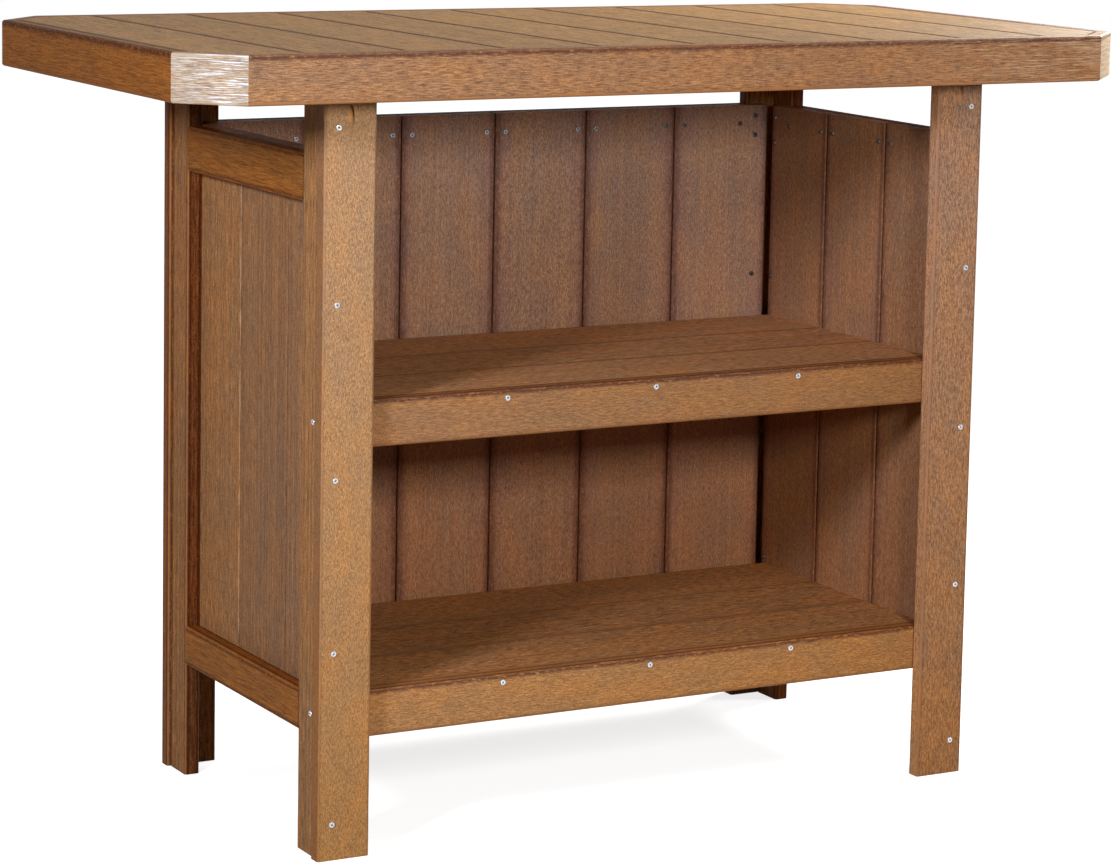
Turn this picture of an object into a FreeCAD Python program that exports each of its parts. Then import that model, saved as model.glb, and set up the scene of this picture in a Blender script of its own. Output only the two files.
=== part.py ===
import FreeCAD, Part
import math
import os

os.makedirs("parts", exist_ok=True)

# Bar counter with two shelves, made of solid plastic lumber.
#
# Everything is cut from one thickness of board whose long edges are rounded and whose ends
# are sawn square. The top is a deck of planks inside a mitred apron with clipped corners.
# Below it, four legs of two boards each carry a closed back, two closed sides and two shelves.
#
# X runs along the counter, Y from the open front to the closed back, Z up, in millimetres.
# The origin is on the floor below the middle of the top.

# ---- driving dimensions: overall ----
counter_height = 1067.0
top_length = 1441.0
top_depth = 741.0
corner_clip = 72.0        # reach of each 45 degree clip along both sides of a corner
base_width = 1022.0       # over the faces of the legs
base_depth = 527.0
base_shift = 16.0         # the base stands this far to the right of the middle of the top

# ---- driving dimensions: lumber ----
board = 22.2              # thickness of every board
edge_radius = 4.0         # rounding of the long edges
plank_width = 139.7       # wide stock, for the deck and the shelves
plank_gap = 1.5
deck_end_plank = 130.0    # the ripped plank at the left-hand end of the deck
panel_width = 151.2       # wide stock, for the side and back panels
panel_gap = 1.2
strip_width = 63.5        # narrow stock, for aprons, top rails and shelf fascias
low_strip_width = 56.0    # ripped stock, for the bottom rails
cleat_width = 38.1        # narrow stock, for the cleats under the shelves

# ---- driving dimensions: legs, panels and shelves ----
leg_face_width = 75.0     # the board that faces the front or the back
leg_side_depth = 53.0     # the board behind it, at the side
leg_step = 5.0            # the side board stands back from the edge of the face board
panel_top = 924.0
panel_bottom = 160.0
side_panel_reach = 472.0  # from the front of the legs to the back end of a side panel
back_end_board = 163.6    # the first board of the back panel, at the right-hand end
shelf_heights = {"mid": 604.0, "low": 217.0}   # upper faces

# ---- driving dimensions: screws, of which only the heads stand out ----
head_radius = 4.0
crown_radius = 3.1        # of the flat on top of a pan head
head_height = 1.6
head_sides = 12           # the heads are faceted, because there are many of them
screw_pitch = 228.6       # along the legs and the fascias
first_leg_screw = 48.5    # above the floor
leg_screws = 5
leg_screw_inset = 20.0    # from the outer edge of a leg
side_screw_setback = 34.5 # from the front of the legs
side_screw_drop = 26.0    # below the upper face of a shelf
panel_screw_inset = 15.0  # from the edge of a panel board
panel_end_inset = 50.0    # from the ends of a panel to one more screw
panel_screw_height = 897.0
back_corner_inset = 23.0  # from the ends of the back panel
back_corner_heights = [666.0, 879.0, 908.0]
side_corner_inset = 9.5   # from the back end of a side panel
side_corner_heights = [227.0, 664.0, 868.0, 906.0]

# ---- driving dimensions: pocket bores ----
pocket_radius = 4.75
pocket_angle = math.radians(15.0)
pocket_bottom = 955.0     # lowest point of the slot that the pocket leaves in the leg
pocket_depth = 36.0       # along the slanted bore, down to its flat shoulder

# ---- planes that the pieces share ----
half_length = top_length / 2
half_depth = top_depth / 2
deck_half_length = half_length - board
deck_half_depth = half_depth - board
deck_bottom = counter_height - board
leg_top = deck_bottom - board            # the battens lie between the legs and the deck
apron_bottom = counter_height - strip_width
left = base_shift - base_width / 2
right = base_shift + base_width / 2
front = -base_depth / 2
back = base_depth / 2
batten_width = board + leg_side_depth
side_skin = leg_step + board             # outer face of a side panel, in from the leg's edge
side_lining = side_skin + board          # inner face of a side panel
back_lining = back - 2 * board           # inner face of the back panel
fascia_front = front + board
fascia_back = fascia_front + board

nodes = {}
frame_screws = []
panel_screws = []

X_AXIS = FreeCAD.Vector(1, 0, 0)
Y_AXIS = FreeCAD.Vector(0, 1, 0)
Z_AXIS = FreeCAD.Vector(0, 0, 1)


def is_along(edge, axis):
    """True for a straight edge that runs along the axis."""
    if len(edge.Vertexes) != 2:
        return False
    run = edge.Vertexes[1].Point.sub(edge.Vertexes[0].Point)
    return run.cross(axis).Length < 1e-6 * run.Length


def round_long_edges(solid, axis):
    """Round the edges of a board that run along its grain."""
    return solid.makeFillet(edge_radius, [e for e in solid.Edges if is_along(e, axis)])


def make_block(x_range, y_range, z_range):
    """A block, sawn square, that fills the three ranges."""
    low = FreeCAD.Vector(x_range[0], y_range[0], z_range[0])
    size = [high - start for start, high in (x_range, y_range, z_range)]
    return Part.makeBox(size[0], size[1], size[2], low)


def make_board(grain, x_range, y_range, z_range):
    """A board that fills the three ranges, rounded along its grain."""
    return round_long_edges(make_block(x_range, y_range, z_range), grain)


def prism(corners, z_low, z_high):
    """A block over a plan outline."""
    points = [FreeCAD.Vector(x, y, z_low) for x, y in corners]
    outline = Part.makePolygon(points + points[:1])
    return Part.Face(outline).extrude(FreeCAD.Vector(0, 0, z_high - z_low))


def lay_boards(start, end, first_width, width, gap):
    """Split a run into boards side by side; the last one is ripped to fit."""
    spans = []
    board_width = first_width
    while end - start > gap:
        spans.append((start, min(start + board_width, end)))
        start += board_width + gap
        board_width = width
    return spans


def clipped_rectangle(half_x, half_y, clip):
    """Plan corners of a rectangle with 45 degree corners, anticlockwise from front left."""
    quarter = [(half_x, half_y - clip), (half_x - clip, half_y)]
    corners = []
    for sign_x, sign_y in ((-1, -1), (1, -1), (1, 1), (-1, 1)):
        pair = [(sign_x * x, sign_y * y) for x, y in quarter]
        corners += pair if sign_x * sign_y > 0 else pair[::-1]
    return corners


def make_head(point, outward):
    """The head of a screw, seated on a surface that faces outward; the shank is buried."""
    turns = [2 * math.pi * index / head_sides for index in range(head_sides)]
    rims = []
    for radius, height in ((head_radius, 0), (crown_radius, head_height)):
        corners = [FreeCAD.Vector(radius * math.cos(turn), radius * math.sin(turn), height)
                   for turn in turns]
        rims.append(Part.makePolygon(corners + corners[:1]))
    head = Part.makeLoft(rims, True, True)
    head.Placement = FreeCAD.Placement(point, FreeCAD.Rotation(Z_AXIS, outward))
    return head


# ---- the top: a mitred apron round a deck of planks ----

def make_aprons():
    """Eight mitred lengths of strip, one for each side of the clipped rectangle."""
    inner_clip = corner_clip - board * (2 - math.sqrt(2))
    outer = clipped_rectangle(half_length, half_depth, corner_clip)
    inner = clipped_rectangle(deck_half_length, deck_half_depth, inner_clip)
    names = ["corner_front_left", "front", "corner_front_right", "right",
             "corner_back_right", "back", "corner_back_left", "left"]
    for index, name in enumerate(names):
        following = (index + 1) % len(names)
        plan = [outer[index], outer[following], inner[following], inner[index]]
        run_x = outer[following][0] - outer[index][0]
        run_y = outer[following][1] - outer[index][1]
        length = prism(plan, apron_bottom, counter_height)
        nodes["apron_" + name] = round_long_edges(length, FreeCAD.Vector(run_x, run_y, 0))


def make_deck():
    """Planks from front to back; the two outer ones are ripped and clipped at the corners."""
    spans = lay_boards(-deck_half_length, deck_half_length,
                       deck_end_plank, plank_width, plank_gap)
    inner_clip = corner_clip - board * (2 - math.sqrt(2))
    plan = clipped_rectangle(deck_half_length, deck_half_depth, inner_clip)
    outline = prism(plan, deck_bottom, counter_height)
    for index, span in enumerate(spans):
        plank = make_board(Y_AXIS, span, (-deck_half_depth, deck_half_depth),
                           (deck_bottom, counter_height))
        if index in (0, len(spans) - 1):
            plank = plank.common(outline).Solids[0]
        nodes["deck_plank_%02d" % (index + 1)] = plank


def make_battens():
    """Two flat battens that tie the planks together and cap the legs."""
    for name, y_low in (("front", front), ("back", back - batten_width)):
        nodes["deck_batten_" + name] = make_board(
            X_AXIS, (-deck_half_length, deck_half_length), (y_low, y_low + batten_width),
            (leg_top, deck_bottom))


# ---- the base: legs, rails and panels ----

def from_left(distance, hand):
    """X of a point this far in from the outer face of the left or right legs."""
    return left + distance if hand == "left" else right - distance


def x_span(hand, near, far):
    """Range in X between two distances from the outer face of the legs on one side."""
    return tuple(sorted((from_left(near, hand), from_left(far, hand))))


def y_span(face, near, far):
    """Range in Y between two distances in from the front or from the back of the legs."""
    if face == "front":
        return (front + near, front + far)
    return (back - far, back - near)


def cut_pocket(leg, centre_x, face):
    """Drill the slanted pocket that hides the screw between a leg and the deck batten."""
    inward = 1 if face == "front" else -1
    surface = front if face == "front" else back
    axis = FreeCAD.Vector(0, inward * math.sin(pocket_angle), math.cos(pocket_angle))
    half_slot = pocket_radius / math.sin(pocket_angle)
    entry = FreeCAD.Vector(centre_x, surface, pocket_bottom + half_slot)
    start = entry.sub(axis * half_slot)
    bore = Part.makeCylinder(pocket_radius, half_slot + pocket_depth, start, axis)
    frame_screws.append(make_head(entry.add(axis * pocket_depth), axis * -1))
    return leg.cut(bore)


def make_legs():
    """Each leg is a face board with a narrower side board behind it."""
    for face in ("front", "back"):
        for hand in ("left", "right"):
            name = "leg_%s_%s" % (face, hand)
            face_board = make_board(Z_AXIS, x_span(hand, 0, leg_face_width),
                                    y_span(face, 0, board), (0, leg_top))
            middle = from_left(leg_face_width / 2, hand)
            nodes[name + "_face"] = cut_pocket(face_board, middle, face)
            nodes[name + "_side"] = make_board(Z_AXIS, x_span(hand, leg_step, side_skin),
                                               y_span(face, board, batten_width),
                                               (0, leg_top))


def rail_heights():
    """Range in Z of the two rails that carry a panel."""
    return {"bottom": (panel_bottom, panel_bottom + low_strip_width),
            "top": (panel_top - strip_width, panel_top)}


def make_rails():
    """Side rails lie between the side boards of the legs, back rails between the face boards."""
    side_run = (front + batten_width, back - batten_width)
    back_run = (left + leg_face_width, right - leg_face_width)
    for level, heights in rail_heights().items():
        for hand in ("left", "right"):
            nodes["rail_%s_%s" % (hand, level)] = make_board(
                Y_AXIS, x_span(hand, leg_step, side_skin), side_run, heights)
        nodes["rail_back_" + level] = make_board(
            X_AXIS, back_run, y_span("back", 0, board), heights)


def side_panel_spans():
    """Boards of a side panel, laid from the back end; the front one is ripped."""
    mirrored = lay_boards(-(front + side_panel_reach), -(front + board),
                          panel_width, panel_width, panel_gap)
    return sorted((-end, -start) for start, end in mirrored)


def back_panel_spans():
    """Boards of the back panel, laid from the right-hand end; the last one is ripped."""
    mirrored = lay_boards(-(right - side_lining), -(left + side_lining),
                          back_end_board, panel_width, panel_gap)
    return sorted((-end, -start) for start, end in mirrored)


def make_panels():
    """Upright boards that close the two sides and the back."""
    heights = (panel_bottom, panel_top)
    for hand in ("left", "right"):
        for index, span in enumerate(side_panel_spans()):
            nodes["side_board_%s_%d" % (hand, index + 1)] = make_board(
                Z_AXIS, x_span(hand, side_skin, side_lining), span, heights)
    for index, span in enumerate(back_panel_spans()):
        nodes["back_board_%d" % (index + 1)] = make_board(
            Z_AXIS, span, (back_lining, back_lining + board), heights)


# ---- the shelves ----

def make_shelf(name, top):
    """Three planks on hidden cleats, with a fascia that runs in behind the front legs."""
    underside = top - board
    start = fascia_back
    for index in range(3):
        nodes["%s_shelf_board_%d" % (name, index + 1)] = make_board(
            X_AXIS, (left + side_lining, right - side_lining),
            (start, start + plank_width), (underside, top))
        start += plank_width + plank_gap
    nodes[name + "_shelf_fascia"] = make_board(
        X_AXIS, (left + side_lining, right - side_lining),
        (fascia_front, fascia_back), (top - strip_width, top))

    # One cleat lies flat along the back; three on edge run from it to the fascia.
    cleat_back = back_lining - cleat_width
    cleats = [make_block((left + side_lining, right - side_lining),
                         (cleat_back, back_lining), (underside - board, underside))]
    middle = base_shift - board / 2
    for run in (x_span("left", side_lining, side_lining + board), (middle, middle + board),
                x_span("right", side_lining, side_lining + board)):
        cleats.append(make_block(run, (fascia_back, cleat_back),
                                 (underside - cleat_width, underside)))
    nodes[name + "_shelf_cleats"] = Part.makeCompound(cleats)


# ---- the screws ----

def add_frame_screws():
    """Heads up the faces of the legs, along the fascias and at the sides of the front legs."""
    for surface, outward in ((front, Y_AXIS * -1), (back, Y_AXIS)):
        for hand in ("left", "right"):
            for index in range(leg_screws):
                point = FreeCAD.Vector(from_left(leg_screw_inset, hand), surface,
                                       first_leg_screw + index * screw_pitch)
                frame_screws.append(make_head(point, outward))
    for top in shelf_heights.values():
        for step in (-1, 0, 1):
            point = FreeCAD.Vector(base_shift + step * screw_pitch, fascia_front,
                                   top - board / 2)
            frame_screws.append(make_head(point, Y_AXIS * -1))
        for hand, outward in (("left", X_AXIS * -1), ("right", X_AXIS)):
            point = FreeCAD.Vector(from_left(leg_step, hand), front + side_screw_setback,
                                   top - side_screw_drop)
            frame_screws.append(make_head(point, outward))


def edge_columns(spans):
    """A screw near both edges of every board of a panel."""
    return [column for start, end in spans
            for column in (start + panel_screw_inset, end - panel_screw_inset)]


def add_panel_screws():
    """Heads inside the panels: along the top rails, and up the back corners."""
    spans = back_panel_spans()
    back_ends = (spans[0][0], spans[-1][1])
    columns = edge_columns(spans)[1:-1]
    columns += [back_ends[0] + panel_end_inset, back_ends[1] - panel_end_inset]
    points = [(x, panel_screw_height) for x in columns]
    points += [(x, height) for height in back_corner_heights
               for x in (back_ends[0] + back_corner_inset, back_ends[1] - back_corner_inset)]
    for x, z in points:
        panel_screws.append(make_head(FreeCAD.Vector(x, back_lining, z), Y_AXIS * -1))

    spans = side_panel_spans()
    side_end = spans[-1][1]
    columns = edge_columns(spans)[:-1] + [side_end - panel_end_inset]
    points = [(y, panel_screw_height) for y in columns]
    points += [(side_end - side_corner_inset, height) for height in side_corner_heights]
    for hand, outward in (("left", X_AXIS), ("right", X_AXIS * -1)):
        x = from_left(side_lining, hand)
        for y, z in points:
            panel_screws.append(make_head(FreeCAD.Vector(x, y, z), outward))


make_aprons()
make_deck()
make_battens()
make_legs()
make_rails()
make_panels()
for shelf_name, shelf_top in shelf_heights.items():
    make_shelf(shelf_name, shelf_top)
add_frame_screws()
add_panel_screws()
nodes["frame_screws"] = Part.makeCompound(frame_screws)
nodes["panel_screws"] = Part.makeCompound(panel_screws)

for name, shape in nodes.items():
    if not shape.isValid():
        raise ValueError("invalid shape: " + name)
    shape.exportStep(os.path.join("parts", name + ".step"))
print(len(nodes), "nodes,", sum(len(shape.Solids) for shape in nodes.values()), "solids")
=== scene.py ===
# %% [markdown]
# # A bar counter with shelves, dressed for the studio
# The counter is put together from sawn boards of brown plastic lumber, held by small steel
# screws. Its construction comes ready made: every board and every screw head is a mesh that
# stays where it is. This lesson gives those meshes their finish, swaps the plain screw heads
# for detailed ones, and sets up the camera, the lamps and the floor.

# %% Load the counter
import math

import bmesh
import bpy
import numpy as np
from mathutils import Euler, Matrix, Vector


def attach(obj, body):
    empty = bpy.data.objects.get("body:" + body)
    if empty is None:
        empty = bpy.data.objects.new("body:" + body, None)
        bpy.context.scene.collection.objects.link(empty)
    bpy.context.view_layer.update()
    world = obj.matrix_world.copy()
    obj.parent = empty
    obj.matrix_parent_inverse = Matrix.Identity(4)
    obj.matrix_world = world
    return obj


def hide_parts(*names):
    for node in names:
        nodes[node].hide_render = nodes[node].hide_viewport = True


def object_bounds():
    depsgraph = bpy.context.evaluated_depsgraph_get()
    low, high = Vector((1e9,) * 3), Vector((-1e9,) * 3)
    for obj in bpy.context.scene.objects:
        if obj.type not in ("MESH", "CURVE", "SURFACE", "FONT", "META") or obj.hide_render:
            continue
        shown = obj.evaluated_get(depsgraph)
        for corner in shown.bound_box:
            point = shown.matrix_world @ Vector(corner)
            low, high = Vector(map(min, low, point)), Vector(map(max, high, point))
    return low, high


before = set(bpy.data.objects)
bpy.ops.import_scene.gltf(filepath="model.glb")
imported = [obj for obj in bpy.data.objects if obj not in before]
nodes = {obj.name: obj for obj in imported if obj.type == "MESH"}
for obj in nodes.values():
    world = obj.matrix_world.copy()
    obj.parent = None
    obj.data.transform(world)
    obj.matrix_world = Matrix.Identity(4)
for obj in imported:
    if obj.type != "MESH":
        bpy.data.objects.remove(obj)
cad_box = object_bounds()
cad_low, cad_high = (Vector(corner) for corner in cad_box)
print(len(nodes), "nodes, size in metres", [round(side, 3) for side in cad_high - cad_low])

# %% [markdown]
# ## The camera
# The counter is seen from a little above its top, from the front and somewhat from the left.
# A long lens a few metres away keeps the upright edges nearly parallel. The frame is cropped
# off centre, which a lens shift copies without turning the camera.

# %% Place the camera
SENSOR_WIDTH = 36.0                   # mm
FOCAL_LENGTH = 114.22                 # mm
LENS_SHIFT = (0.0196, -0.1648)
CAMERA_PLACE = Vector((-2.402, -4.305, 1.399))
CAMERA_HEADING = math.radians(28.71)  # to the right of straight into the counter
CAMERA_DROP = math.radians(7.48)      # below the horizon
CAMERA_ROLL = math.radians(1.02)


def put_in_scene(name, data):
    """A new object that shows a mesh, a lamp or a camera."""
    made = bpy.data.objects.new(name, data)
    bpy.context.scene.collection.objects.link(made)
    return made


def make_camera():
    """The only camera, looking along a heading, with its lens shifted."""
    data = bpy.data.cameras.new("camera")
    data.sensor_width = SENSOR_WIDTH
    data.lens = FOCAL_LENGTH
    data.shift_x, data.shift_y = LENS_SHIFT
    made = put_in_scene("camera", data)
    aim = Euler((math.radians(90) - CAMERA_DROP, 0, -CAMERA_HEADING)).to_matrix().to_4x4()
    roll = Matrix.Rotation(CAMERA_ROLL, 4, "Z")
    made.matrix_world = Matrix.Translation(CAMERA_PLACE) @ aim @ roll
    return made


camera = make_camera()
bpy.context.scene.camera = camera
bpy.context.scene.view_settings.view_transform = "Standard"
print("camera", round((CAMERA_PLACE - (cad_low + cad_high) / 2).length, 2), "m from the counter")

# %% [markdown]
# ## Helpers for shader nodes
# Every finish below is a tree of shader nodes, and a few helpers keep the trees short. They
# add a node and fill its inputs, do a sum, and make a soft step. A mask is a number from 0 to 1
# that says where an effect shows.

# %% Helpers that add nodes
def add(tree, kind, inputs=None, **settings):
    """Add a node; an input is either a value or the output of another node."""
    node = tree.nodes.new("ShaderNode" + kind)
    for name, value in settings.items():
        setattr(node, name, value)
    for name, value in (inputs or {}).items():
        if isinstance(value, bpy.types.NodeSocket):
            tree.links.new(value, node.inputs[name])
        else:
            node.inputs[name].default_value = value
    return node


def sums(tree, operation, *values):
    """A Math node on one to three values; returns its output."""
    return add(tree, "Math", dict(enumerate(values)), operation=operation).outputs[0]


def times(tree, first, second):
    """The product of two masks or values."""
    return sums(tree, "MULTIPLY", first, second)


def opposite(tree, mask):
    """A mask turned over: 1 where it was 0."""
    return sums(tree, "SUBTRACT", 1.0, mask)


def step(tree, value, low, high):
    """0 below low, 1 above high, and smooth between."""
    node = add(tree, "MapRange", {"Value": value, "From Min": low, "From Max": high},
               interpolation_type="SMOOTHSTEP")
    return node.outputs["Result"]


print("node helpers ready")

# %% [markdown]
# ## Helpers for colours
# Most marks on the plastic make its brown a little lighter, darker or warmer. So they are
# tints: factors for red, green and blue that multiply the colour. White changes nothing.

# %% Helpers that mix colours
WHITE = (1, 1, 1, 1)


def blend(tree, mask, first, second, mode="MIX"):
    """The first colour where the mask is 0 and the second where it is 1."""
    node = add(tree, "Mix", data_type="RGBA", blend_type=mode)
    for name, value in (("Factor_Float", mask), ("A_Color", first), ("B_Color", second)):
        socket = next(s for s in node.inputs if s.identifier == name)
        if isinstance(value, bpy.types.NodeSocket):
            tree.links.new(value, socket)
        else:
            socket.default_value = value
    return next(s for s in node.outputs if s.identifier == "Result_Color")


def tinted(tree, colour, tint):
    """A colour multiplied by a tint."""
    return blend(tree, 1.0, colour, tint, "MULTIPLY")


def tinted_where(tree, mask, colour, tint):
    """A colour multiplied by a tint, only where the mask is 1."""
    return tinted(tree, colour, blend(tree, mask, WHITE, tint))


print("colour helpers ready")

# %% [markdown]
# ## Helpers for groups and materials
# An effect that several materials share is built once, as a node group with named sockets.
# Each material then places the group with values of its own. The shader itself stays in the
# material, where an exporter can find it, and takes the group's colour, roughness and height.

# %% Helpers that make groups and materials
RESULT_TYPES = {"VALUE": "NodeSocketFloat", "VECTOR": "NodeSocketVector",
                "RGBA": "NodeSocketColor"}


def input_type(value):
    """The socket for a number, a vector of three or a colour of four."""
    if not isinstance(value, tuple):
        return "NodeSocketFloat"
    return "NodeSocketVector" if len(value) == 3 else "NodeSocketColor"


def start_group(name, inputs):
    """A node group with an input for each value; returns its tree and those inputs."""
    tree = bpy.data.node_groups.new(name, "ShaderNodeTree")
    for label, value in inputs.items():
        socket = tree.interface.new_socket(label, in_out="INPUT", socket_type=input_type(value))
        socket.default_value = value
    return tree, tree.nodes.new("NodeGroupInput").outputs


def end_group(tree, results):
    """Give a group an output for each result; returns the group."""
    for label, value in results.items():
        tree.interface.new_socket(label, in_out="OUTPUT", socket_type=RESULT_TYPES[value.type])
    filled = tree.nodes.new("NodeGroupOutput").inputs
    for label, value in results.items():
        tree.links.new(value, filled[label])
    print("group", tree.name, "with", len(tree.nodes), "nodes")
    return tree


def use_group(tree, group, inputs=None):
    """Place a node group in a tree; returns its outputs."""
    return add(tree, "Group", inputs, node_tree=group).outputs


def new_material(name):
    """A material with its node tree and its Principled BSDF."""
    material = bpy.data.materials.new(name)
    material.use_nodes = True
    return material, material.node_tree, material.node_tree.nodes["Principled BSDF"]


def give_finish(tree, shader, finish, depth):
    """Link a group's colour and roughness to the shader, and its height as relief."""
    bump = add(tree, "Bump", {"Height": finish["Height"], "Distance": depth})
    tree.links.new(finish["Colour"], shader.inputs["Base Color"])
    tree.links.new(finish["Roughness"], shader.inputs["Roughness"])
    tree.links.new(bump.outputs["Normal"], shader.inputs["Normal"])


print("group helpers ready")

# %% [markdown]
# ## A board knows its own grain
# Each board is cut from a long extruded plank, so its pattern runs along it and no two boards
# show the same piece of pattern. The shader needs to know, for every board, which way its
# grain runs, where its middle is, how large it is and which of its sides are the wide ones.
# These facts are written on the objects as custom properties. One material can then serve all
# boards of one kind, and it can tell how far a point lies from the edge of its own board.

# %% Write the grain of every board on its object
GRAIN_TURNS = {"X": Euler((0, 0, 0)), "Y": Euler((0, 0, math.radians(-90))),
               "Z": Euler((0, math.radians(90), 0)), "rising": Euler((0, 0, math.radians(-45))),
               "falling": Euler((0, 0, math.radians(45)))}
SEED_STEP = 0.618034  # steps of this size spread the boards' seeds evenly from 0 to 1


def grain_of(name):
    """The direction in which a board was extruded."""
    if name in ("apron_corner_front_left", "apron_corner_back_right"):
        return "falling"
    if name in ("apron_corner_front_right", "apron_corner_back_left"):
        return "rising"
    if name.startswith(("leg", "side_board", "back_board")):
        return "Z"
    if name.startswith(("deck_plank", "apron_left", "apron_right", "rail_left", "rail_right")):
        return "Y"
    return "X"


def describe_board(index, name):
    """Store how to lay a board's grain along X, and its middle, half size and wide way."""
    turn = GRAIN_TURNS[grain_of(name)]
    board = nodes[name]
    points = np.array([vertex.co for vertex in board.data.vertices])
    turned = points @ np.array(turn.to_matrix()).T
    low, high = turned.min(axis=0), turned.max(axis=0)
    half = (high - low) / 2
    board["grain_turn"] = list(turn)
    board["board_middle"] = [float(value) for value in (low + high) / 2]
    board["board_half"] = [float(value) for value in half]
    board["board_wide"] = [0.0, 1.0, 0.0] if half[1] > half[2] else [0.0, 0.0, 1.0]
    board["board_seed"] = (index + 1) * SEED_STEP % 1


board_names = sorted(name for name in nodes if not name.endswith("_screws"))
for index, name in enumerate(board_names):
    describe_board(index, name)
print(len(board_names), "boards described")

# %% [markdown]
# ## Group: board place
# This group turns a point on the counter into a point on its own board: along the grain,
# across the face and through the thickness. From the same numbers it tells how far the point
# lies from the nearest long edge, where it is along and across the board, and whether it is on
# a narrow side. A surface that lies below the skin of the board can only be a cut, such as a
# sawn end or the bore of a screw pocket.

# %% Build the board place group
SEED_SPREAD = (31.0, 17.0, 53.0)  # metres between the patterns of two boards
CUT_DEPTH = (0.003, 0.004)        # a surface this deep below the skin is a cut or a bore
NARROW_TURN = (0.75, 0.95)        # how squarely a narrow side faces the board's wide way


def make_board_place():
    """Point on the board, distance from its long edges, and the kind of face it is on."""
    tree, _ = start_group("board place", {})
    facts = {label: add(tree, "Attribute", attribute_type="OBJECT", attribute_name=label).outputs
             for label in ("grain_turn", "board_middle", "board_half", "board_wide", "board_seed")}
    half, seed = facts["board_half"]["Vector"], facts["board_seed"]["Fac"]

    def laid_along(vector):
        """A vector, turned so that the grain lies along X."""
        return add(tree, "VectorRotate", {"Vector": vector,
                                          "Rotation": facts["grain_turn"]["Vector"]},
                   rotation_type="EULER_XYZ").outputs[0]

    def vector_sums(operation, *values):
        """A Vector Math node on one or two vectors."""
        return add(tree, "VectorMath", dict(enumerate(values)), operation=operation).outputs[0]

    local = vector_sums("SUBTRACT", laid_along(add(tree, "TexCoord").outputs["Object"]),
                        facts["board_middle"]["Vector"])
    spread = add(tree, "VectorMath", {0: SEED_SPREAD, "Scale": seed}, operation="SCALE").outputs[0]
    depth = vector_sums("SUBTRACT", half, vector_sums("ABSOLUTE", local))
    depth = add(tree, "SeparateXYZ", {0: depth}).outputs
    share = add(tree, "SeparateXYZ", {0: vector_sums("DIVIDE", local, half)}).outputs
    facing = laid_along(add(tree, "NewGeometry").outputs["Normal"])
    sideways = add(tree, "VectorMath", {0: facing, 1: facts["board_wide"]["Vector"]},
                   operation="DOT_PRODUCT").outputs["Value"]
    return end_group(tree, {
        "Grain": vector_sums("ADD", local, spread),
        "Edge": sums(tree, "MAXIMUM", depth["Y"], depth["Z"]),
        "Along": share["X"],
        "Across": share["Z"],
        "Narrow": step(tree, sums(tree, "ABSOLUTE", sideways), *NARROW_TURN),
        "Cut": step(tree, sums(tree, "MINIMUM", depth["Y"], depth["Z"]), *CUT_DEPTH),
        "Seed": seed})


board_place = make_board_place()

# %% [markdown]
# ## Group: embossed grain
# A patterned roller presses a wood grain into the warm plastic: fine grooves along the board,
# up to a few centimetres long and about a millimetre wide. Noise that is stretched along the
# board gives such fibres. Two more noises add the speckle of the mixed plastic and slow clouds
# of tone. Sizes are in metres.

# %% Build the embossed grain group
FIBRE_NOISE = (3.0, 0.65)           # detail and roughness of a noise
SPECKLE_NOISE = (3.0, 0.7)
CLOUD_SIZE, CLOUD_NOISE = (0.11, 0.045), (2.0, 0.6)
GROOVE_STEP, PIT_STEP = (0.36, 0.6), (0.35, 0.65)
GROOVE_SHARE, PIT_SHARE = 0.7, 0.3  # of the height of the embossing


def stretched_noise(tree, place, length, width, detail, roughness):
    """Noise whose spots are length long along the grain and width wide across it."""
    size = add(tree, "CombineXYZ", {0: length, 1: width, 2: width}).outputs[0]
    point = add(tree, "VectorMath", {0: place, 1: size}, operation="DIVIDE").outputs[0]
    noise = add(tree, "TexNoise", {"Vector": point, "Scale": 1.0, "Detail": detail,
                                   "Roughness": roughness})
    return noise.outputs["Fac"]


def make_embossed_grain():
    """Fibres, speckle and clouds, each from 0 to 1, and the height of the embossing."""
    tree, given = start_group("embossed grain", {
        "Grain": (0.0, 0.0, 0.0), "Fibre length": 0.035, "Fibre width": 0.002,
        "Spot length": 0.006, "Spot width": 0.0026})
    place = given["Grain"]
    fibres = stretched_noise(tree, place, given["Fibre length"], given["Fibre width"],
                             *FIBRE_NOISE)
    speckle = stretched_noise(tree, place, given["Spot length"], given["Spot width"],
                              *SPECKLE_NOISE)
    grooves = times(tree, step(tree, fibres, *GROOVE_STEP), GROOVE_SHARE)
    pits = times(tree, step(tree, speckle, *PIT_STEP), PIT_SHARE)
    return end_group(tree, {
        "Fibres": fibres,
        "Speckle": speckle,
        "Clouds": stretched_noise(tree, place, *CLOUD_SIZE, *CLOUD_NOISE),
        "Height": sums(tree, "ADD", grooves, pits)})


embossed_grain = make_embossed_grain()

# %% [markdown]
# ## Group: edge wear
# The roller doesn't reach the rounded edges. A smooth margin stays there, and where the
# embossing stops the plastic shows a ragged dark line. Each kind tints the margin with a painted
# reflection of the lamps on the rounded edge, lighter than the face on most kinds. A noise
# moves the end of the margin to and fro, and a finer one breaks the line into dashes.

# %% Build the edge wear group
WANDER_SIZE, WANDER_NOISE = (0.03, 0.03), (3.0, 0.7)
DASH_SIZE, DASH_NOISE = (0.008, 0.002), (3.0, 0.75)
DASH_STEP = (0.33, 0.48)
MARGIN_BLUR = 0.0006  # metres on each side of the margin's end


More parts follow.
